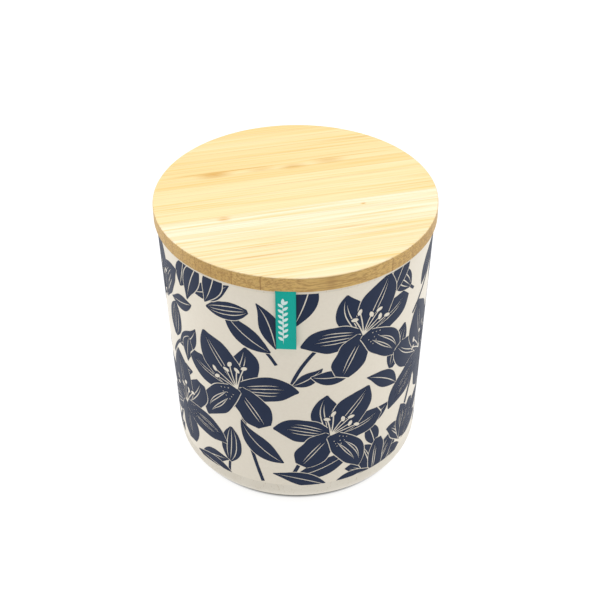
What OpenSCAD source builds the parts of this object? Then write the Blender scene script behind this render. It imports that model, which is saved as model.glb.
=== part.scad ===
// Round storage canister: a moulded bamboo-fibre jar with a printed foil round its wall,
// and a laminated bamboo lid with a silicone seal and a folded ribbon label.
// Frame: +Z up, origin at the centre of the face that the jar stands on, -Y towards the label.

/* [Jar] */
// Outer diameter of the jar at its rim
jar_d = 108; // [80:1:160]
// Height of the jar without its lid
jar_h = 111.6; // [70:0.2:200]
// How far the outer wall leans in from rim to base, on the radius
jar_taper = 3.2; // [0.5:0.1:5]
// Thickness of the wall at the rim and at the base
wall = 3; // [2:0.1:4]
// Thickness of the floor
floor_t = 3.6; // [2.5:0.1:6]
// Radius of the rounding between wall and base
base_round = 7; // [5:0.5:10]
// Height of the foot ring under the base
foot_h = 1.2; // [0.6:0.1:3]
// How far the foot ring stands in from the end of the base rounding
foot_inset = 0.8; // [0:0.1:5]
// Width of the foot ring
foot_w = 4.5; // [3:0.5:8]
// Height of the straight land inside the mouth, where the seal slides
mouth_land = 12; // [10:1:20]
// Rounding of the rim's two edges
rim_round = 0.6; // [0.2:0.1:0.9]

/* [Printed foil] */
// Thickness of the foil moulded into the wall
foil_t = 0.2; // [0.1:0.05:0.5]
// Bare wall left between the rim and the foil
foil_top_gap = 1.4; // [1:0.1:5]
// Bare wall left between the base rounding and the foil
foil_low_gap = 3; // [0.5:0.5:12]
// Width of the butt seam at the back
foil_seam = 0.4; // [0.2:0.1:1]

/* [Lid] */
// How far the lid stands out past the rim
lid_overhang = 1; // [0.9:0.1:4]
// Thickness of the flange
flange_t = 6.4; // [4:0.1:12]
// Air between the plug and the jar's wall
plug_gap = 2; // [1.6:0.1:3]
// Rounding of the flange's edges
arris = 0.6; // [0.2:0.1:1]
// Width of one bamboo strip
strip_w = 5.8; // [4.5:0.1:12]
// Angle of the strips from the X axis
grain_angle = 17; // [0:1:90]

/* [Seal] */
// Height of the groove cut round the plug
groove_h = 4.4; // [3:0.1:6]
// Depth of the groove
groove_depth = 1.6; // [1.4:0.1:2.5]
// Bamboo left above and below the groove
groove_land = 1.6; // [1:0.1:3]
// Thickness of the seal's band
band_t = 1.2; // [0.8:0.1:1.3]
// Thickness of one lip at its edge
lip_t = 0.5; // [0.3:0.1:0.8]
// Number of lips round the band
lips = 2; // [1:1:3]
// Clearance of the seal in its groove and against the jar
seal_fit = 0.05; // [0.02:0.01:0.1]

/* [Label] */
// Width of the ribbon
ribbon_w = 7.4; // [4:0.2:20]
// Length that hangs below the flange
ribbon_drop = 26; // [10:1:50]
// Thickness of the folded ribbon, both plies together
ribbon_t = 0.5; // [0.3:0.05:0.7]
// Air between the ribbon and the jar
ribbon_air = 0.15; // [0.1:0.05:0.3]

/* [Hidden] */
$fn = 180;
jar_r = jar_d / 2;
base_r = jar_r - jar_taper;
mouth_r = jar_r - wall;
floor_z = foot_h + floor_t;
foot_r = base_r - base_round - foot_inset;
wall_low = foot_h + base_round;
inner_round = base_round - wall;
foil_low = wall_low + foil_low_gap;
foil_top = jar_h - foil_top_gap;

lid_r = jar_r + lid_overhang;
lid_top = jar_h + flange_t;
plug_r = mouth_r - plug_gap;
groove_top = jar_h - groove_land;
groove_low = groove_top - groove_h;
groove_r = plug_r - groove_depth;
plug_low = groove_low - groove_land;
plug_edge = 0.5;

// An odd count puts one strip on the lid's centre line. The outermost ones are cut by the round edge.
side_strips = ceil(lid_r / strip_w - 0.5);
strips = 2 * side_strips + 1;

// The ribbon is glued into a shallow slot under the flange and hangs plumb, clear of the rim.
ribbon_in = jar_r + ribbon_air;
ribbon_end = plug_r + 0.5;
slot_top = jar_h + ribbon_air + ribbon_t;
slot_side = 0.3;

function strip_name(i) = str("lid_strip_", i < 10 ? "0" : "", i);

// Radius of the leaning outer wall at height z.
function wall_r(z) = base_r + jar_taper * (z - wall_low) / (jar_h - wall_low);

// Arc about [x, y] with radius r, from angle a to angle b, as points of an outline.
function arc(x, y, r, a, b, steps = 12) =
    [for (i = [0 : steps]) [x + r * cos(a + (b - a) * i / steps), y + r * sin(a + (b - a) * i / steps)]];

// One-piece moulded jar: leaning wall, rounded base, foot ring, and a step where the foil lies.
module canister_body() {
    color([0.87, 0.83, 0.75])
    rotate_extrude()
    difference() {
        polygon(concat(
            [[0, foot_h], [foot_r - foot_w, foot_h], [foot_r - foot_w, 0], [foot_r, 0], [foot_r, foot_h]],
            arc(base_r - base_round, wall_low, base_round, -90, 0),
            arc(jar_r - rim_round, jar_h - rim_round, rim_round, 0, 90, 4),
            arc(mouth_r + rim_round, jar_h - rim_round, rim_round, 90, 180, 4),
            [[mouth_r, jar_h - mouth_land]],
            arc(base_r - wall - inner_round, floor_z + inner_round, inner_round, 0, -90),
            [[0, floor_z]]
        ));
        foil_section(jar_r);
    }
}

// Half section of the foil, from its back against the jar out to radius out, or flush with the wall.
module foil_section(out = 0) {
    polygon([
        [wall_r(foil_low) - foil_t, foil_low],
        [max(out, wall_r(foil_low)), foil_low],
        [max(out, wall_r(foil_top)), foil_top],
        [wall_r(foil_top) - foil_t, foil_top]
    ]);
}

// Printed foil moulded flush into the wall, with a butt seam at the back.
module decal_foil() {
    color([0.16, 0.20, 0.36])
    difference() {
        rotate_extrude() foil_section();
        translate([-foil_seam / 2, 0, 0]) cube([foil_seam, jar_r + 1, jar_h]);
    }
}

// Silicone seal: a band that lies in the plug's groove, with lips that wipe the mouth.
module seal_ring() {
    band_in = groove_r + seal_fit;
    band_low = groove_low + seal_fit;
    band_h = groove_h - 2 * seal_fit;
    lip_root = lip_t * 1.8;
    lip_lift = 0.5;
    lip_pitch = band_h / lips;
    lip_out = mouth_r - seal_fit;
    color([0.93, 0.93, 0.91])
    rotate_extrude()
    union() {
        translate([band_in, band_low]) square([band_t, band_h]);
        for (i = [0 : lips - 1])
            translate([0, band_low + (i + 0.5) * lip_pitch - lip_root / 2])
                polygon([
                    [band_in + band_t / 2, 0],
                    [lip_out, lip_lift],
                    [lip_out, lip_lift + lip_t],
                    [band_in + band_t / 2, lip_root]
                ]);
    }
}

// Turned section of the lid: flange, plug and the groove for the seal.
module lid_section() {
    polygon(concat(
        [[0, plug_low], [plug_r - plug_edge, plug_low], [plug_r, plug_low + plug_edge]],
        [[plug_r, groove_low], [groove_r, groove_low], [groove_r, groove_top], [plug_r, groove_top]],
        [[plug_r, jar_h]],
        arc(lid_r - arris, jar_h + arris, arris, -90, 0, 4),
        arc(lid_r - arris, lid_top - arris, arris, 0, 90, 4),
        [[0, lid_top]]
    ));
}

// One glued bamboo strip, turned with its neighbours. Strip 1 is the one nearest the label.
module lid_strip(i) {
    color([0.93 - 0.03 * (i % 3), 0.79 - 0.02 * (i % 2), 0.55])
    difference() {
        intersection() {
            rotate_extrude() lid_section();
            rotate(grain_angle)
                translate([-lid_r - 1, (i - 1 - side_strips - 0.5) * strip_w, plug_low - 1])
                    cube([2 * lid_r + 2, strip_w, lid_top - plug_low + 2]);
        }
        translate([-ribbon_w / 2 - slot_side, -lid_r - 1, jar_h - 1])
            cube([ribbon_w + 2 * slot_side, lid_r + 1 - ribbon_end, slot_top - jar_h + 1]);
    }
}

// Folded ribbon: glued under the flange, turned down over the rim, with the fold at its lower end.
module label_ribbon() {
    bend = ribbon_t;
    fold = ribbon_t / 2;
    low = jar_h - ribbon_drop;
    color([0.10, 0.66, 0.60])
    translate([ribbon_w / 2, 0, 0])
    rotate([90, 0, -90])
    linear_extrude(ribbon_w)
    polygon(concat(
        [[ribbon_end, slot_top], [ribbon_end, slot_top - ribbon_t], [ribbon_in, slot_top - ribbon_t]],
        arc(ribbon_in + fold, low + fold, fold, 180, 360, 8),
        arc(ribbon_in + ribbon_t - bend, slot_top - bend, bend, 0, 90, 6)
    ));
}

canister_body();
decal_foil();
seal_ring();
label_ribbon();
for (i = [1 : strips])
    lid_strip(i);
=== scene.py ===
from math import cos, hypot, pi, radians, sin

import bpy
from mathutils import Matrix, Vector
from mathutils.geometry import delaunay_2d_cdt


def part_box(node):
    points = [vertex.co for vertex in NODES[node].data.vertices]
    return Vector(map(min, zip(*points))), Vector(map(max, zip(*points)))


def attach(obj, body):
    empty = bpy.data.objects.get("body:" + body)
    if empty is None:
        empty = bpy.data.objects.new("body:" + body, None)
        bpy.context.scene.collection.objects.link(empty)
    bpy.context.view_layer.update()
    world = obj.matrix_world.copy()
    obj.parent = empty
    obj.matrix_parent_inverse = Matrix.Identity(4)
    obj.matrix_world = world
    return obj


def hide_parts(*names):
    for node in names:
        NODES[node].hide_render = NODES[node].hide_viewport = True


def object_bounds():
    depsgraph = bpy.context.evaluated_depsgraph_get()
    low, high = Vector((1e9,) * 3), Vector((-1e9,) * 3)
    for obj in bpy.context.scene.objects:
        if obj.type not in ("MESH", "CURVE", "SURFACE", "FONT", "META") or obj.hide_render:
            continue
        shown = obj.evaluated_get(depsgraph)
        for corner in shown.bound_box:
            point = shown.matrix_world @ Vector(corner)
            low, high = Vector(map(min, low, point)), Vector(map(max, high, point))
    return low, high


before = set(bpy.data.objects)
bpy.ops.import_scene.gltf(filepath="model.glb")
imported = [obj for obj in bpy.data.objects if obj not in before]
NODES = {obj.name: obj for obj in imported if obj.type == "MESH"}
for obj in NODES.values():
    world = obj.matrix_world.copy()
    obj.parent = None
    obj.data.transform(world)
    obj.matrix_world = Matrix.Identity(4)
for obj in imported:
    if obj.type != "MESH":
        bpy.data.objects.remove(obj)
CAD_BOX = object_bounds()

MM = 0.001

# ---------------------------------------------------------------------------
# Camera. It stands a little to the label's right and looks down on the lid,
# near enough for the far edge to look smaller than the near one.
# ---------------------------------------------------------------------------
CAMERA_SIDE = 3.8        # degrees round the canister, from the label's side
CAMERA_DOWN = 37.2       # degrees below level
CAMERA_ROLL = -0.34      # degrees
CAMERA_AWAY = 0.401      # distance from the canister's axis, seen from above
CAMERA_OFF = 0.0015      # how far aside of the axis it stands
CAMERA_RISE = 0.2532     # height above the lid
SENSOR_WIDTH = 36        # millimetres
FOCAL_LENGTH = 73.5      # millimetres

camera_data = bpy.data.cameras.new("camera")
camera_data.sensor_width = SENSOR_WIDTH
camera_data.lens = FOCAL_LENGTH
camera = bpy.data.objects.new("camera", camera_data)
bpy.context.scene.collection.objects.link(camera)
turned = Matrix.Rotation(radians(CAMERA_SIDE), 3, "Z")
tilted = Matrix.Rotation(radians(90 - CAMERA_DOWN), 3, "X")
rolled = Matrix.Rotation(radians(CAMERA_ROLL), 3, "Z")
camera.location = turned @ Vector((CAMERA_OFF, -CAMERA_AWAY, CAD_BOX[1].z + CAMERA_RISE))
camera.rotation_euler = (turned @ tilted @ rolled).to_euler()
bpy.context.scene.camera = camera

# ---------------------------------------------------------------------------
# Studio: a light tent. The front is dimmer than the two sides and the top, so
# the canister is palest along its edges. The floor is white.
# ---------------------------------------------------------------------------
TENT_GLOW = 0.5          # light that comes evenly from all round

bpy.context.scene.view_settings.view_transform = "Standard"
world = bpy.data.worlds.new("tent")
world.use_nodes = True
world.node_tree.nodes["Background"].inputs["Color"].default_value = (1.0, 1.0, 1.0, 1)
world.node_tree.nodes["Background"].inputs["Strength"].default_value = TENT_GLOW
bpy.context.scene.world = world


def tent_wall(name, round_degrees, up_degrees, spread, strength):
    """A very soft sun that shines from a side: degrees round from the label, and degrees up."""
    light = bpy.data.lights.new(name, "SUN")
    light.angle = radians(spread)
    light.energy = strength
    lamp = bpy.data.objects.new(name, light)
    lamp.rotation_euler = (radians(90 - up_degrees), 0, radians(round_degrees))
    bpy.context.scene.collection.objects.link(lamp)


def deselect():
    """Leaves nothing selected, so the next operator acts on one new object alone."""
    for thing in bpy.context.selected_objects:
        thing.select_set(False)


def sum_of(operation, swapped=False):
    """An arithmetic operator for shader sockets."""
    def apply(self, other):
        return self.math(operation, other, self) if swapped else self.math(operation, self, other)
    return apply


class Shade:
    """A socket in a material's node tree. Arithmetic on it adds Math nodes."""

    def __init__(self, tree, socket=None):
        self.tree = tree
        self.socket = socket

    def add(self, kind, settings, sockets, out=0):
        """Adds any node: its settings come first, then the values or links of its sockets."""
        node = self.tree.nodes.new(kind)
        for name, value in settings.items():
            setattr(node, name, value)
        for name, value in sockets.items():
            if isinstance(value, Shade):
                self.tree.links.new(value.socket, node.inputs[name])
            else:
                node.inputs[name].default_value = value
        return Shade(self.tree, node.outputs[out])

    def math(self, operation, *values):
        return self.add("ShaderNodeMath", {"operation": operation}, dict(enumerate(values)))

    __add__ = sum_of("ADD")
    __radd__ = sum_of("ADD", True)
    __sub__ = sum_of("SUBTRACT")
    __rsub__ = sum_of("SUBTRACT", True)
    __mul__ = sum_of("MULTIPLY")
    __rmul__ = sum_of("MULTIPLY", True)
    __truediv__ = sum_of("DIVIDE")

    def one(self, operation):
        """A Math node with this as its only value, such as FLOOR."""
        return self.math(operation, self)

    def step(self, low, high):
        """0 at low, 1 at high, smooth between them. Low may be the higher number."""
        return self.add("ShaderNodeMapRange", {"interpolation_type": "SMOOTHSTEP"},
                        {"Value": self, "From Min": low, "From Max": high})

    def noise(self, scale=1.0, detail=3.0, rough=0.5):
        return self.add("ShaderNodeTexNoise", {}, {"Vector": self, "Scale": scale,
                                                   "Detail": detail, "Roughness": rough})

    def stretched(self, scale, shift=(0, 0, 0)):
        return self.add("ShaderNodeMapping", {}, {"Vector": self, "Scale": scale, "Location": shift})

    def split(self, axis):
        return self.add("ShaderNodeSeparateXYZ", {}, {"Vector": self}, axis)

    def blend(self, low, high):
        """Colour low where this is 0 and high where it is 1."""
        return self.add("ShaderNodeMix", {"data_type": "RGBA"}, {"Factor": self, 6: low, 7: high}, 2)


def finish_of(name, colour, roughness, height=None, depth=0.0, glow=None, **fixed):
    """A material. Colour, height and glow are functions of the piece's coordinates."""
    material = bpy.data.materials.new(name)
    material.use_nodes = True
    tree = material.node_tree
    tree.nodes.clear()
    at = Shade(tree).add("ShaderNodeTexCoord", {}, {}, "Object")
    sockets = {key.replace("_", " "): value for key, value in fixed.items()}
    sockets["Base Color"] = colour(at)
    sockets["Roughness"] = roughness
    if glow:
        sockets["Emission Color"] = glow(at)
    if height:
        sockets["Normal"] = at.add("ShaderNodeBump", {}, {"Distance": depth, "Height": height(at)})
    shader = at.add("ShaderNodeBsdfPrincipled", {}, sockets)
    output = tree.nodes.new("ShaderNodeOutputMaterial")
    tree.links.new(shader.socket, output.inputs["Surface"])
    return material


def rgb(r, g, b):
    """A colour as a screen shows it, 0 to 255, turned into the shader's own scale."""
    return tuple(((c / 255 + 0.055) / 1.055) ** 2.4 for c in (r, g, b)) + (1,)


tent_wall("tent top", 160, 72, 80, 1.7)
tent_wall("tent left", -105, 22, 60, 1.1)
tent_wall("tent right", 100, 20, 60, 0.7)

FLOOR_SIZE = 60          # metres, so that its edge lies at the horizon
FLOOR_GLOW = 0.86        # how much light comes through the white floor, away from the canister
PAINTED_SHADOW_RADIUS = 0.0455      # radius of the painted shadow, a dark round under the canister
PAINTED_SHADOW_END = 0.0475       # radius where the painted shadow ends and the floor is fully lit

deselect()
bpy.ops.mesh.primitive_plane_add(size=FLOOR_SIZE)
floor = bpy.context.object
floor.name = "floor"


def glow_with_painted_shadow(at):
    """White, with a painted shadow: a dark round under the canister that darkens the jar's base and lower
    edge.
    """
    away = at.add("ShaderNodeVectorMath", {"operation": "LENGTH"}, {0: at}, "Value")
    # Painted shadow: the glow fades to black towards the canister's axis.
    return away.step(PAINTED_SHADOW_RADIUS, PAINTED_SHADOW_END).blend((0, 0, 0, 1), (1, 1, 1, 1))


floor.data.materials.append(finish_of("white floor", lambda at: rgb(124, 124, 124), 0.9, glow=glow_with_painted_shadow,
                                      Emission_Strength=FLOOR_GLOW))

# ---------------------------------------------------------------------------
# Jar: moulded from melamine with bamboo fibre, which leaves fine flecks in the
# cream body. Its shape is the frame's own.
# ---------------------------------------------------------------------------


def dress(node, material):
    """Gives a frame node its material."""
    NODES[node].data.materials.clear()
    NODES[node].data.materials.append(material)


def cream_body(at):
    cloud = at.noise(60, 2.0).step(0.35, 0.65)
    body = cloud.blend(rgb(213, 205, 189), rgb(220, 213, 198))
    fibre = at.stretched((1, 1, 0.25)).noise(2200, 1.0).step(0.66, 0.72)
    return (fibre * 0.4).blend(body, rgb(174, 154, 120))


def skin(at):
    """The faint orange peel of a polished mould."""
    return at.noise(700, 2.0)


jar_cream = finish_of("jar cream", cream_body, 0.38, skin, 0.00001)
dress("canister_body", jar_cream)

# ---------------------------------------------------------------------------
# Printed foil: a decorated overlay moulded flush into the wall, with a cream
# ground under the same clear melamine skin as the jar. Its shape is the frame's.
# ---------------------------------------------------------------------------
foil_ground = finish_of("foil ground",
                        lambda at: at.noise(900, 3.0).blend(rgb(222, 213, 196), rgb(230, 222, 206)),
                        0.34, skin, 0.000008)
dress("decal_foil", foil_ground)

# ---------------------------------------------------------------------------
# Lily print: dark blue ink on the foil, cut in the manner of a lino block, so
# every petal keeps a bare line round it. It is drawn on the unrolled wall in
# millimetres, cut out as one sheet of ink, and wrapped round the foil.
# ---------------------------------------------------------------------------
BARE = 0.42              # bare line left round a motif
LINE = 0.46              # bare line cut inside a petal
INK_PROUD = 0.06         # how far the ink's face stands off the foil
INK_DEEP = 0.12          # thickness of the ink sheet, half of it sunk in the foil
MESH_STEP = 2.2          # spacing of the points that let the sheet bend
NEAREST = 0.004          # points of the sheet closer than this are one point

# Half-widths at even steps from base to tip, as shares of the greatest one.
PETAL = (0.34, 0.66, 0.93, 1.0, 0.90, 0.62, 0.06)
BROAD = (0.40, 0.74, 0.96, 1.0, 0.99, 0.84, 0.42)
LEAF = (0.06, 0.60, 0.94, 1.0, 0.80, 0.42, 0.04)
BUD = (0.22, 0.72, 0.98, 1.0, 0.90, 0.62, 0.10)
THREAD = (0.15, 0.8, 1.0, 1.0, 0.9, 0.6, 0.1)
OVAL = (0.08, 0.74, 0.97, 1.0, 0.97, 0.74, 0.08)
STALK = (1.0, 1.0)
drawn = []               # (outline, inked); each lies over the ones before it


def glide(t, knots):
    """A smooth curve through evenly spaced knots, for t from 0 to 1."""
    x = t * (len(knots) - 1)
    i = min(int(x), len(knots) - 2)
    f, a, b = x - i, knots[i], knots[i + 1]
    before = knots[i - 1] if i else 2 * a - b
    after = knots[i + 2] if i + 2 < len(knots) else 2 * b - a
    square = before - 2.5 * a + 2 * b - after / 2
    cube = 1.5 * (a - b) + (after - before) / 2
    return a + f * (b - before) / 2 + f * f * square + f ** 3 * cube


class Blade:
    """A petal, leaf, bud or stalk. Its middle line bends all along and flicks aside near the tip."""

    PARTS = 40

    def __init__(self, base, angle, length, width, bend=0, flick=0, knots=PETAL, ripple=0.0):
        self.angle, self.bend, self.flick = angle, bend, flick
        self.length, self.width, self.knots, self.ripple = length, width, knots, ripple
        self.middle = [base]
        for i in range(self.PARTS):
            heading = self.heading((i + 0.5) / self.PARTS)
            x, y = self.middle[-1]
            part = length / self.PARTS
            self.middle.append((x + part * cos(heading), y + part * sin(heading)))

    def heading(self, t):
        return radians(self.angle + self.bend * t + self.flick * max(0.0, t - 0.6) / 0.4)

    def place(self, t, aside):
        """The point at share t of the length and some way to the left of the middle line."""
        inside = max(0.0, min(t, 1.0))
        i = min(int(inside * self.PARTS), self.PARTS - 1)
        (ax, ay), (bx, by) = self.middle[i], self.middle[i + 1]
        f = inside * self.PARTS - i
        heading, beyond = self.heading(t), (t - inside) * self.length
        return (ax + f * (bx - ax) + beyond * cos(heading) - aside * sin(heading),
                ay + f * (by - ay) + beyond * sin(heading) + aside * cos(heading))

    def half(self, t, hand=1):
        wave = self.ripple * sin(3.6 * pi * t + 1.1 * hand) * min(1, 4 * t, 5 * (1 - t))
        return max(glide(t, self.knots), 0.02) * self.width / 2 * (1 + wave)

    def cut(self, inked, steps=16, grow=0.0):
        """Draws the whole outline, or one that is bigger all round by grow."""
        right, left = [], []
        if grow:
            blunt = min(0.3 + 0.8 * self.knots[0], 1) * max(self.half(0), 0.4 * grow)
            right.append(self.place(-grow / self.length, -blunt))
            left.append(self.place(-grow / self.length, blunt))
        for i in range(steps + 1):
            t = i / steps
            right.append(self.place(t, -self.half(t, -1) - grow))
            left.append(self.place(t, self.half(t) + grow))
        if grow:
            blunt = min(0.3 + 0.8 * self.knots[-1], 1) * max(self.half(1), 0.4 * grow)
            right.append(self.place(1 + 1.3 * grow / self.length, -blunt))
            left.append(self.place(1 + 1.3 * grow / self.length, blunt))
        drawn.append((right + left[::-1], inked))

    def line(self, share, start, end, width=LINE, swell=0.0, steps=10):
        """A bare line inside, at a share of the half-width. Swell bows it aside in the middle."""
        right, left = [], []
        for i in range(steps + 1):
            s = i / steps
            t = start + (end - start) * s
            aside = (share + swell * sin(pi * s)) * self.half(t)
            thick = glide(s, THREAD) * width / 2
            right.append(self.place(t, aside - thick))
            left.append(self.place(t, aside + thick))
        drawn.append((right + left[::-1], False))


# The lines cut inside a petal: (share of the half-width, start, end, width, swell).
CUTS = {
    "pair": ((0.10, 0.2, 0.96), (-0.12, 0.25, 0.9)),
    "fan": tuple((share, 0.18, 0.8 - 0.25 * abs(share)) for share in (-0.5, -0.25, 0.05, 0.32)),
    "loops": ((0.30, 0.30, 0.86, 0.4, 0.12), (0.30, 0.30, 0.86, 0.4, -0.06),
              (-0.22, 0.22, 0.80, 0.4, 0.12), (-0.22, 0.22, 0.80, 0.4, -0.06)),
    "side": ((0.35, 0.15, 0.9), (0.08, 0.2, 0.8)),
    "plain": (),
}


def piece_of_plant(blade, cuts, steps=16):
    """A motif with its bare border, then its ink, then the lines cut in it."""
    blade.cut(False, steps, BARE)
    blade.cut(True, steps)
    for each in cuts:
        blade.line(*each)


def leaf(base, angle, length, width, bend=0, flick=0, shares=(0.0,)):
    piece_of_plant(Blade(base, angle, length, width, bend, flick, LEAF), [(q, 0.02, 0.95) for q in shares])


def stem(base, angle, length, bend=0, width=1.3):
    piece_of_plant(Blade(base, angle, length, width, bend, 0, STALK), (), 8)


def bud(base, angle, length, width, bend=0, stalk=6):
    if stalk:
        stem(base, angle + 180, stalk, bend, 1.2)
    folds = [(q, 0.03, 0.97) for q in (-0.5, 0, 0.45)]
    piece_of_plant(Blade(base, angle, length, width, bend, 0, BUD), folds)


def stamens(base, angle, length, spread, count=6):
    """Bare threads that fan out of the throat, each with an oval head, on a dark border."""
    for inked, thread, head, long in ((True, 1.3, 2.5, 3.9), (False, 0.55, 1.75, 3.1)):
        for i in range(count):
            lean = angle + spread * (i / (count - 1) - 0.5)
            turn = 14 if i > count / 2 else -14
            filament = Blade(base, lean, length * (1 - 0.2 * (i % 2)), thread, turn, 0, STALK)
            filament.cut(inked, 6)
            x, y = filament.place(1, 0)
            tilt = lean + turn + (50 if i % 2 else -35)
            start = (x - long / 2 * cos(radians(tilt)), y - long / 2 * sin(radians(tilt)))
            Blade(start, tilt, long, head, 0, 0, OVAL).cut(inked, 8)


def freckles(base, angle, reach, spread=46, dot_radius=0.28):
    """Three rows of bare dots on the petal in front of the throat."""
    for row in range(3):
        for k in range(row + 2):
            lean = radians(angle + spread * (k / (row + 1) - 0.5))
            away = reach * (0.55 + 0.22 * row)
            x, y = base[0] + away * cos(lean), base[1] + away * sin(lean)
            corners = [pi / 3 * j for j in range(6)]
            drawn.append(([(x + dot_radius * cos(c), y + dot_radius * sin(c)) for c in corners], False))


def lily(base, turn, form, size=1.0, hand=1, heads=6):
    """A flower that faces some way: its petals from the back one forwards, then dots and stamens."""
    for lean, length, width, bend, flick, cuts, knots in form:
        piece_of_plant(Blade(base, turn + hand * lean, size * length, size * width, hand * bend, hand * flick,
                             knots, 0.05), CUTS[cuts], 24)
    if heads:
        freckles(base, turn - hand * 96, 8.5 * size)
        stamens(base, turn + 4 * hand, 13 * size, 74, heads)


# How a flower looks from its front and from its side. Each petal leans from the flower's own direction.
OPEN = ((52, 25, 13, -12, -18, "side", PETAL), (-50, 26, 13, 14, 16, "pair", BROAD),
        (2, 30, 17.5, -8, 14, "pair", PETAL), (104, 27, 13.5, 18, 16, "fan", PETAL),
        (176, 22, 15, 8, 0, "pair", BROAD), (-100, 29, 13.5, -14, -20, "loops", PETAL))
NODDING = ((44, 24, 11, 26, 24, "side", PETAL), (-46, 25, 11, -24, -26, "fan", PETAL),
           (18, 29, 13, 12, 10, "pair", PETAL), (-20, 29, 13, -10, -12, "loops", PETAL),
           (0, 27, 10.5, 2, 0, "side", BROAD))


def sprays(u0):
    """One repeat of the pattern. Places are (along the wall from u0, height above the table)."""
    def at(u, z):
        return (u + u0, z)
    # Stalks, which everything else passes over.
    stem(at(2, 18), 66, 24, 10, 1.6)
    stem(at(-11, 12), 106, 46, -10, 1.5)
    stem(at(-40, 62), -20, 22, -30, 1.5)
    stem(at(46, 8), 66, 52, 6, 1.6)
    stem(at(-66, 12), 60, 30, 10, 1.6)
    stem(at(-84, 64), 60, 40, -20, 1.5)
    stem(at(0, 60), 80, 26, -30, 1.4)
    stem(at(-4, 76), 116, 32, 40, 1.3)
    stem(at(56, 82), 40, 24, 10, 1.3)
    stem(at(-60, 56), 62, 16, -20, 1.3)
    # Leaves and buds between the flowers.
    leaf(at(-6, 82), 152, 25, 9, -26, -10)
    leaf(at(-4, 84), 96, 22, 8, 20, 10)
    bud(at(-14, 100), 196, 18, 8, -8, 0)
    leaf(at(2, 66), 20, 14, 6, 30)
    leaf(at(9, 70), -18, 17, 7, 30)
    bud(at(44, 62), 74, 20, 10, -8, 8)
    leaf(at(48, 52), 130, 20, 8, 30)
    leaf(at(44, 44), 214, 16, 7, -30)
    leaf(at(-2, 24), 150, 27, 9.5, -34, -10)
    leaf(at(2, 16), 16, 29, 9, 16, 0)
    bud(at(-26, 18), 80, 20, 9.5, 10, 7)
    leaf(at(-42, 14), 20, 16, 7, -10)
    leaf(at(38, 24), 100, 16, 7, 20)
    leaf(at(58, 22), 20, 24, 9, 26)
    leaf(at(72, 12), 30, 26, 8, -20)
    bud(at(52, 98), 130, 17, 9, 10, 4)
    leaf(at(62, 92), 60, 22, 9, -16)
    bud(at(78, 84), 84, 22, 10.5, 8, 6)
    leaf(at(80, 72), 20, 24, 9, 30)
    leaf(at(-44, 56), 196, 20, 8, 20)
    bud(at(-55, 68), 84, 19, 9.5, -10, 0)
    leaf(at(-52, 66), 30, 20, 8, 34, 10)
    leaf(at(-46, 98), 74, 16, 8, 0)
    leaf(at(-38, 100), 20, 20, 8, 20)
    leaf(at(-76, 26), 120, 26, 9, 20)
    leaf(at(-60, 14), 176, 20, 7.5, -24)
    leaf(at(-40, 92), 206, 15, 7, -20)
    leaf(at(-44, 74), 250, 14, 6.5, 20)
    # Motifs that the foil's upper edge cuts off.
    leaf(at(9, 117), 262, 24, 9, -18)
    leaf(at(50, 116), 236, 20, 8.5, 16)
    leaf(at(-26, 117), 262, 20, 8.5, -20)
    leaf(at(-34, 114), 238, 22, 8, 20)
    leaf(at(-76, 114), 300, 22, 9, 16)
    leaf(at(80, 114), 250, 20, 8, -16)
    # Motifs that the foil's lower edge cuts off.
    lily(at(38, 7), 84, NODDING, 0.74, 1, 0)
    leaf(at(16, 10), 150, 24, 7, 24)
    leaf(at(18, 8), 26, 18, 7, -30)
    leaf(at(-24, 9), 158, 22, 7.5, 26)
    lily(at(-70, 0), 84, NODDING, 0.66, 1, 0)
    # The flowers.
    lily(at(-62, 84), 118, NODDING, 1.0, 1)
    lily(at(29, 86), 66, OPEN, 0.9, 1)
    lily(at(68, 56), 104, OPEN, 1.0, -1)
    lily(at(-20, 60), 122, OPEN, 0.92, -1)
    lily(at(17, 38), 52, OPEN, 0.88, 1)
    lily(at(-52, 34), 96, OPEN, 0.9, 1)
    lily(at(56, 16), 70, NODDING, 0.7, -1, 0)


foil_points = [v.co / MM for v in NODES["decal_foil"].data.vertices]
FOIL_LOW, FOIL_HIGH = min(p.z for p in foil_points), max(p.z for p in foil_points)
LOW_RADIUS = max(hypot(p.x, p.y) for p in foil_points if p.z < FOIL_LOW + 0.1)
HIGH_RADIUS = max(hypot(p.x, p.y) for p in foil_points if p.z > FOIL_HIGH - 0.1)
FLAT_RADIUS = (LOW_RADIUS + HIGH_RADIUS) / 2
HALF_ROUND = pi * FLAT_RADIUS
SEAM = min(abs(p.x) for p in foil_points if p.y > 0.9 * LOW_RADIUS)


def ink_sheet():
    """Cuts the drawn shapes into one flat mesh. A triangle is ink if the topmost shape over it is."""
    edge = HALF_ROUND - SEAM
    columns, rows = int(2 * edge / MESH_STEP), int((FOIL_HIGH - FOIL_LOW) / MESH_STEP)
    along = [-edge + 2 * edge * i / columns for i in range(columns + 1)]
    shapes = [([(u, FOIL_LOW) for u in along] + [(u, FOIL_HIGH) for u in reversed(along)], False)]
    for outline, inked in drawn:
        if any(abs(x) < edge + 1 and FOIL_LOW - 1 < z < FOIL_HIGH + 1 for x, z in outline):
            area = sum(a[0] * b[1] - b[0] * a[1] for a, b in zip(outline, outline[1:] + outline[:1]))
            shapes.append((outline if area > 0 else outline[::-1], inked))
    points, faces = [], []
    for outline, _ in shapes:
        faces.append(list(range(len(points), len(points) + len(outline))))
        points += [Vector(p) for p in outline]
    for i in range(1, columns):
        for j in range(1, rows):
            z = FOIL_LOW + (FOIL_HIGH - FOIL_LOW) * (j + 0.5 * (i % 2)) / rows
            points.append(Vector((along[i], z)))
    found, _, triangles, _, _, owners = delaunay_2d_cdt(points, [], faces, 0, NEAREST)
    kept = [t for t, own in zip(triangles, owners) if own and min(own) == 0 and shapes[max(own)][1]]
    used = sorted({i for t in kept for i in t})
    place = {old: new for new, old in enumerate(used)}
    return [found[i] for i in used], [[place[i] for i in t] for t in kept]


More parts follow.
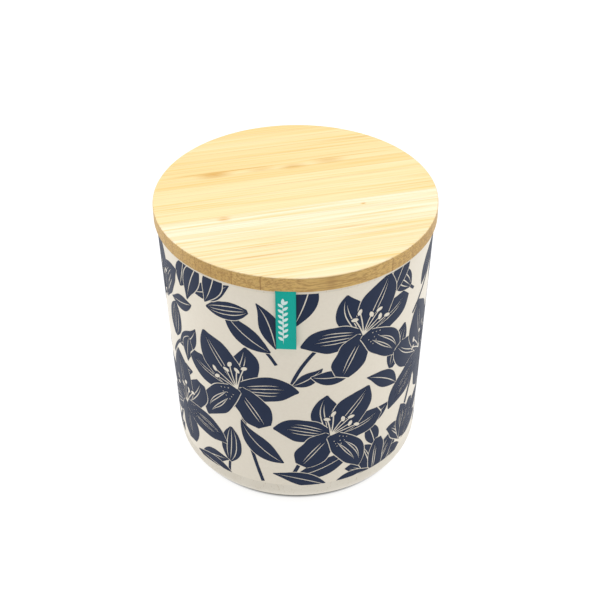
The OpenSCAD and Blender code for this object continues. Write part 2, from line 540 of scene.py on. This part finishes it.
def thicken(piece, thickness):
    """Gives an open sheet its thickness, inwards, and applies it."""
    deselect()
    piece.select_set(True)
    bpy.context.view_layer.objects.active = piece
    solid = piece.modifiers.new("thickness", "SOLIDIFY")
    solid.thickness = thickness * MM
    solid.offset = -1
    bpy.ops.object.modifier_apply(modifier="thickness")
    bpy.ops.object.shade_smooth_by_angle(angle=radians(30))


for repeat in (-1, 0, 1):
    sprays(repeat * HALF_ROUND)
flat_points, triangles = ink_sheet()
wrapped = []
for u, z in flat_points:
    share = (z - FOIL_LOW) / (FOIL_HIGH - FOIL_LOW)
    radius = LOW_RADIUS + share * (HIGH_RADIUS - LOW_RADIUS) + INK_PROUD
    wrapped.append(Vector((radius * sin(u / FLAT_RADIUS), -radius * cos(u / FLAT_RADIUS), z)) * MM)
mesh = bpy.data.meshes.new("lily_print")
mesh.from_pydata(wrapped, [], triangles)
lily_print = bpy.data.objects.new("lily_print", mesh)
bpy.context.scene.collection.objects.link(lily_print)
thicken(lily_print, INK_DEEP)
# The sheet is all slivers, so its smooth shading points straight away from the axis.
normals = [Vector((v.co.x, v.co.y, 0)).normalized() for v in lily_print.data.vertices]
lily_print.data.normals_split_custom_set_from_vertices(normals)
lily_ink = finish_of("lily ink", lambda at: at.noise(420, 4.0).blend(rgb(13, 31, 60), rgb(19, 37, 68)),
                     0.45, skin, 0.000004, Specular_IOR_Level=0.2)
lily_print.data.materials.append(lily_ink)
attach(lily_print, "canister")

# ---------------------------------------------------------------------------
# Lid: bamboo strips glued side by side and turned on a lathe, sanded and oiled.
# The strips keep the frame's shape; the grain runs along them all.
# ---------------------------------------------------------------------------
GRAIN = 17               # degrees from the X axis
STRIP = 5.8              # width of one strip, in millimetres
BOUNDARY = -8.7          # where the yellow strips end and the pale ones begin, across the grain


def along_grain(at):
    """Coordinates in millimetres, along the grain, across it and up."""
    return at.add("ShaderNodeMapping", {"vector_type": "TEXTURE"},
                  {"Vector": at, "Rotation": (0, 0, radians(GRAIN)), "Scale": (MM, MM, MM)})


def smudge(grain, place, across, long, wide):
    """1 in the middle of a soft oval mark on the lid, 0 outside it."""
    near = grain.stretched((1 / long, 1 / wide, 0), (-place / long, -across / wide, 0))
    return near.add("ShaderNodeVectorMath", {"operation": "LENGTH"}, {0: near}, "Value").step(1, 0)


# Marks on the lid where a joint of the cane or a dark fibre was cut through, in millimetres on the grain:
# place along, place across, half-length, half-width, strength.
MARKS = ((-28, 21.4, 10, 3.2, 1.0), (-9, 21.6, 8, 2.6, 0.55), (4, 20.6, 8, 3.0, 0.7),
         (19, 21.8, 10, 3.0, 0.7), (-30, -10.4, 4, 2.4, 0.75), (23.7, -12.3, 1.6, 0.8, 1.0),
         (-24, 23.2, 36, 0.7, 1.0), (26, 23.8, 24, 0.7, 0.8), (34, 37, 18, 0.8, 0.8),
         (-22, -37, 26, 0.8, 0.8), (-16, -31, 22, 0.7, 0.6), (14, -26.5, 26, 0.6, 0.6),
         (10, 8.7, 50, 0.4, 0.35))


def bamboo_colour(at):
    grain = along_grain(at)
    across = grain.split("Y")
    number = (across / STRIP + 0.5).one("FLOOR")
    tone = grain.add("ShaderNodeTexWhiteNoise", {"noise_dimensions": "1D"}, {"W": number + 0.37})
    # Each strip has its own tone. The ones just past the middle of the near side are the palest.
    body = tone.blend(rgb(237, 210, 147), rgb(243, 222, 169))
    near = (across - BOUNDARY).step(0.1, -0.1)
    body = (near * (0.3 + 0.5 * (across + 26).step(-5, 5))).blend(body, rgb(250, 238, 211))
    # Broad bands and long fibres, then darker bundles, which show as dots where the grain is cut across.
    band = grain.stretched((0.011, 0.42, 0.42)).noise(1.0, 3.0, 0.6).step(0.45, 0.70)
    body = (band * 0.7).blend(body, rgb(237, 205, 134))
    fibre = grain.stretched((0.012, 1.1, 1.1)).noise(1.0, 4.0, 0.62).step(0.46, 0.70)
    body = (fibre * 0.75).blend(body, rgb(233, 196, 114))
    light = grain.stretched((0.010, 0.9, 0.9), (3, 7, 1)).noise(1.0, 3.0, 0.6).step(0.50, 0.68)
    body = (light * (0.15 + 0.5 * near)).blend(body, rgb(249, 237, 206))
    bundle = grain.stretched((0.016, 3.6, 3.6)).noise(1.0, 2.0).step(0.56, 0.70)
    body = (bundle * 0.4).blend(body, rgb(222, 180, 98))
    streaked = 0.45 + 0.55 * grain.stretched((0.05, 1.6, 1.6)).noise(1.0, 3.0).step(0.36, 0.60)
    for place, side, long, wide, strength in MARKS:
        body = (smudge(grain, place, side, long, wide) * streaked * strength).blend(body, rgb(212, 160, 66))
    # The turned rim is darker: partly end grain, which takes up more oil, and partly painted shade, as its
    # sides face away from the light above.
    rise = Shade(at.tree, at.socket.node.outputs["Normal"]).split("Z")
    rim_grain_and_painted_shade = rise.one("ABSOLUTE").step(0.9, 0.3)
    rimwood_and_painted_shade = tone.blend(rgb(184, 143, 67), rgb(207, 169, 93))
    streak = grain.stretched((0.06, 1.5, 1.5)).noise(1.0, 3.0, 0.6).step(0.42, 0.62)
    rimwood_and_painted_shade = (streak * 0.65).blend(rimwood_and_painted_shade, rgb(150, 106, 40))
    rimwood_and_painted_shade = (bundle * 0.5).blend(rimwood_and_painted_shade, rgb(126, 86, 30))
    # Painted shade in part: the lid's sides take the darker rim colours because of the way they face.
    body = (rim_grain_and_painted_shade * 0.95).blend(body, rimwood_and_painted_shade)
    seam = ((across / STRIP + 0.5).one("FRACT") - 0.5).one("ABSOLUTE").step(0.470, 0.497)
    return (seam * (0.25 + rim_grain_and_painted_shade * 0.45)).blend(body, rgb(140, 96, 40))


def bamboo_height(at):
    return along_grain(at).stretched((0.03, 5.0, 5.0)).noise(1.0, 3.0)


bamboo = finish_of("bamboo", bamboo_colour, 0.5, bamboo_height, 0.00003)
for name in NODES:
    if name.startswith("lid_strip"):
        dress(name, bamboo)

# ---------------------------------------------------------------------------
# Seal: a ring of milky silicone in the plug's groove. Its shape is the frame's.
# ---------------------------------------------------------------------------
silicone = finish_of("silicone", lambda at: at.noise(120, 2.0).blend(rgb(228, 230, 228), rgb(238, 240, 238)),
                     0.35, skin, 0.000004, Subsurface_Weight=0.3, Subsurface_Radius=(0.004, 0.004, 0.004))
dress("seal_ring", silicone)

# ---------------------------------------------------------------------------
# Ribbon label: one length of woven ribbon folded in half, its two ends glued
# under the flange, so it hangs as two plies with a soft fold at the bottom.
# ---------------------------------------------------------------------------
PLY = 0.2                # thickness of one ply
RIBS = 4.2               # weft ribs in a millimetre
YARNS = 3.1              # warp yarns in a millimetre
AIR = 0.15               # between the ribbon and the rim
CURL = 0.4               # radius where the ribbon turns down from under the flange
BOW = 0.05               # how far the front ply bulges
SELVEDGE = 0.55          # width of the darker woven edge
GLUE_STEP = 0.5          # spacing of the points along a glued end
ROWS = 40                # steps down each ply
ACROSS = 10              # steps across the ribbon
ribbon_low, ribbon_high = (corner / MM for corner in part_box("label_ribbon"))
RIBBON_W = ribbon_high.x - ribbon_low.x
NEAR, FAR = -ribbon_low.y, -ribbon_high.y          # from the axis: the hanging face and the glued end
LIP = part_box("canister_body")[1].z / MM            # the jar's rim
GLUED = ribbon_high.z - PLY / 2
BACK = NEAR - (ribbon_high.z - LIP - AIR) + PLY / 2


def ribbon_path():
    """The strip's middle line as (distance from the axis, height), from one glued end to the other."""
    front, low = NEAR - PLY / 2, ribbon_low.z + PLY / 2
    fold = (front - BACK) / 2
    path = [(FAR + GLUE_STEP * i, GLUED) for i in range(9)]
    for turn in range(15, 91, 15):
        path.append((front - CURL + CURL * sin(radians(turn)), GLUED - CURL + CURL * cos(radians(turn))))
    for i in range(1, ROWS + 1):
        share = i / ROWS
        path.append((front + BOW * sin(pi * share), GLUED - CURL + (low + fold - GLUED + CURL) * share))
    for turn in range(20, 181, 20):
        path.append((front - fold + fold * cos(radians(turn)), low + fold - fold * sin(radians(turn))))
    inner = LIP + AIR + PLY / 2
    for i in range(1, ROWS + 1):
        path.append((BACK, low + fold + (inner - low - fold) * i / ROWS))
    path += [(BACK - GLUE_STEP * i, inner) for i in range(1, 9)]
    return path


path = ribbon_path()
points, quads = [], []
for away, height in path:
    for i in range(ACROSS + 1):
        x = RIBBON_W * (i / ACROSS - 0.5)
        points.append(Vector((x, -away, height)) * MM)
for row in range(len(path) - 1):
    for i in range(ACROSS):
        first = row * (ACROSS + 1) + i
        quads.append((first, first + 1, first + ACROSS + 2, first + ACROSS + 1))
mesh = bpy.data.meshes.new("woven_ribbon")
mesh.from_pydata(points, [], quads)
weave = mesh.uv_layers.new(name="weave")
travel = [0.0]
for a, b in zip(path, path[1:]):
    travel.append(travel[-1] + hypot(b[0] - a[0], b[1] - a[1]))
for loop in mesh.loops:
    row, i = divmod(loop.vertex_index, ACROSS + 1)
    weave.data[loop.index].uv = (RIBBON_W * i / ACROSS, travel[row])
ribbon = bpy.data.objects.new("woven_ribbon", mesh)
bpy.context.scene.collection.objects.link(ribbon)
thicken(ribbon, PLY)


def weave_height(at):
    cloth = at.add("ShaderNodeUVMap", {"uv_map": "weave"}, {})
    ribs = (cloth.split("Y") * (2 * pi * RIBS)).one("SINE")
    yarns = (cloth.split("X") * (2 * pi * YARNS)).one("SINE")
    return ribs * 0.5 + ribs * yarns * 0.35 + cloth.noise(3.0, 2.0)


def weave_colour(at):
    # Painted shade and highlight: the yarn's colour follows the weave's height, darker in the hollows and
    # paler on the raised ribs.
    height = weave_height(at).step(-0.2, 1.2)
    edge = at.add("ShaderNodeUVMap", {"uv_map": "weave"}, {}).split("X")
    start = RIBBON_W / 2 - SELVEDGE
    selvedge = (edge - RIBBON_W / 2).one("ABSOLUTE").step(start, start + 0.2)
    body = height.blend(rgb(8, 150, 136), rgb(22, 190, 175))
    return (selvedge * 0.25).blend(body, rgb(10, 142, 132))


ribbon_teal = finish_of("ribbon teal", weave_colour, 0.7, weave_height, 0.00003,
                        Specular_IOR_Level=0.15)
ribbon.data.materials.append(ribbon_teal)
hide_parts("label_ribbon")
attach(ribbon, "lid")

# ---------------------------------------------------------------------------
# Woven sprig: white yarn that floats on the ribbon's front, in a plain sprig
# of leaves up the left part of the face.
# ---------------------------------------------------------------------------
SPRIG_X = -1.0           # the stalk's place across the ribbon
SPRIG_PROUD = 0.06       # how far the yarn stands off the ribbon
YARN_DEEP = 0.12         # thickness of the yarn
PAIRS = 7                # pairs of leaves
sprig_low, sprig_high = ribbon_low.z + 2.6, LIP - 3.0
LEFT_OVER, RIGHT_OVER, TIP_OVER = 0.015, 0.03, 0.045    # how far each yarn passes over the one before
parts = []


def sprig_leaf(x, z, tilt, length, width, over=0.0):
    """A pointed oval of yarn that starts at a point and leans over by some degrees."""
    face = -NEAR - BOW - SPRIG_PROUD - over
    deselect()
    bpy.ops.mesh.primitive_circle_add(vertices=16, radius=1, fill_type="NGON", rotation=(pi / 2, 0, 0))
    bpy.ops.object.transform_apply()
    part = bpy.context.object
    for vertex in part.data.vertices:
        up = vertex.co.z
        side = vertex.co.x * (1 - 0.35 * up * up) * width / 2
        rise = (up + 1) * length / 2
        vertex.co = Vector((x + side * cos(radians(tilt)) + rise * sin(radians(tilt)), face,
                            z - side * sin(radians(tilt)) + rise * cos(radians(tilt)))) * MM
    parts.append(part)


sprig_leaf(SPRIG_X, sprig_low, 0, sprig_high - sprig_low - 1.5, 0.45)
for pair in range(PAIRS):
    height = sprig_low + 1.6 + (sprig_high - sprig_low - 4.0) * pair / 6.5
    sprig_leaf(SPRIG_X, height, -48, 2.4, 1.15, LEFT_OVER)
    sprig_leaf(SPRIG_X, height + 1.2, 48, 2.4, 1.15, RIGHT_OVER)
sprig_leaf(SPRIG_X, sprig_high - 2.6, 0, 2.9, 1.3, TIP_OVER)
deselect()
for part in parts:
    part.select_set(True)
bpy.context.view_layer.objects.active = parts[0]
bpy.ops.object.join()
sprig = parts[0]
sprig.name = "woven_sprig"
thicken(sprig, -YARN_DEEP)
white_yarn = finish_of("white yarn",
                       lambda at: at.noise(2500, 2.0).blend(rgb(196, 226, 221), rgb(226, 242, 239)),
                       0.7, lambda at: at.noise(3500, 2.0), 0.00002)
sprig.data.materials.append(white_yarn)
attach(sprig, "lid")
